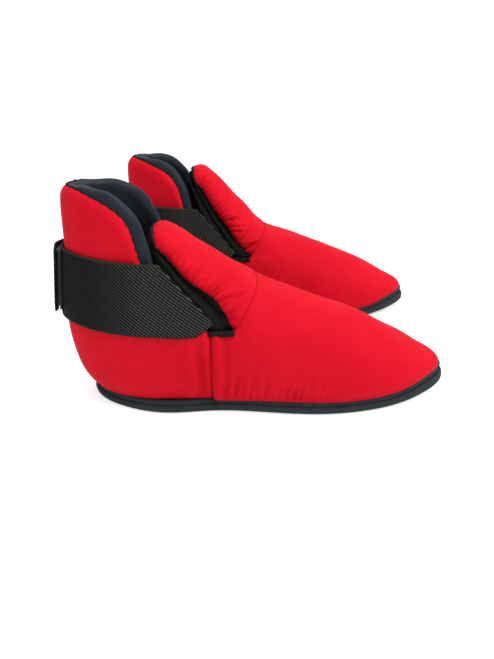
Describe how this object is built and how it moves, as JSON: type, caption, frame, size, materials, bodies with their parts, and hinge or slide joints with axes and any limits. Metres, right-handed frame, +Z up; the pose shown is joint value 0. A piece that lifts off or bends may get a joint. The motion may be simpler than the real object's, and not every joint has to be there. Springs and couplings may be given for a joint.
{
  "type": "padded sparring boots",
  "caption": "Pair of foam-padded cloth sparring boots with a hinged padded tongue, tall heel cup, bound flange sole and a webbing heel strap that closes behind the heel.",
  "frame": {"origin": "middle of the pair's footprint, on the surface the soles rest on", "axes": "+X towards the toes, +Y from the right boot to the left boot, +Z up"},
  "size_m": [0.2998, 0.2394, 0.1525],
  "materials": {
    "red_cloth": "close-woven polyester cloth over foam, soft sheen",
    "black_lining": "smooth brushed lining with a soft blue-black sheen",
    "foam": "closed-cell foam",
    "edging": "dark grey knitted edging, overlocked",
    "webbing": "ribbed twill webbing",
    "binding": "folded binding tape",
    "outsole": "matt grip sheet",
    "board": "pressed fibre board",
    "insole": "cloth-faced foam insole",
    "hook_and_loop": "hook and loop pile",
    "thread": "sewing thread"
  },
  "bodies": {
    "right_boot": {"right_outsole": "outsole", "right_sole_board": "board", "right_insole": "insole", "right_sole_binding_front": "binding", "right_sole_binding_heel": "binding", "right_sole_stitching": "thread", "right_heel_cover": "red_cloth", "right_heel_foam": "foam", "right_heel_lining": "black_lining", "right_heel_edging": "edging", "right_vamp_cover": "red_cloth", "right_vamp_foam": "foam", "right_vamp_lining": "black_lining", "right_throat_edging": "edging", "right_lateral_strap": "webbing", "right_loop_patch": "hook_and_loop"},
    "right_tongue": {"right_tongue_cover": "red_cloth", "right_tongue_foam": "foam", "right_tongue_lining": "black_lining"},
    "right_strap": {"right_medial_strap": "webbing", "right_hook_patch": "hook_and_loop", "right_closure_stitching": "thread"},
    "left_boot": {"left_outsole": "outsole", "left_sole_board": "board", "left_insole": "insole", "left_sole_binding_front": "binding", "left_sole_binding_heel": "binding", "left_sole_stitching": "thread", "left_heel_cover": "red_cloth", "left_heel_foam": "foam", "left_heel_lining": "black_lining", "left_heel_edging": "edging", "left_vamp_cover": "red_cloth", "left_vamp_foam": "foam", "left_vamp_lining": "black_lining", "left_throat_edging": "edging", "left_lateral_strap": "webbing", "left_loop_patch": "hook_and_loop"},
    "left_tongue": {"left_tongue_cover": "red_cloth", "left_tongue_foam": "foam", "left_tongue_lining": "black_lining"},
    "left_strap": {"left_medial_strap": "webbing", "left_hook_patch": "hook_and_loop", "left_closure_stitching": "thread"}
  },
  "joints": [
    {"name": "right_tongue_lift", "type": "hinge", "parent": "right_boot", "child": "right_tongue", "pos_m": [-0.00303, -0.07451, 0.088], "axis": [0, 1, 0], "range_deg": [0, 35]},
    {"name": "right_strap_open", "type": "hinge", "parent": "right_boot", "child": "right_strap", "pos_m": [-0.03353, -0.02811, 0.088], "axis": [0, 0, -1], "range_deg": [0, 34]},
    {"name": "boots_apart", "type": "slide", "parent": "right_boot", "child": "left_boot", "axis": [0, 1, 0], "range_m": [0, 0.25]},
    {"name": "left_tongue_lift", "type": "hinge", "parent": "left_boot", "child": "left_tongue", "pos_m": [0.00795, 0.0737, 0.088], "axis": [-0.0174, 0.9998, 0], "range_deg": [0, 24]},
    {"name": "left_strap_open", "type": "hinge", "parent": "left_boot", "child": "left_strap", "pos_m": [-0.02174, 0.02678, 0.088], "axis": [0, 0, 1], "range_deg": [0, 34]}
  ]
}
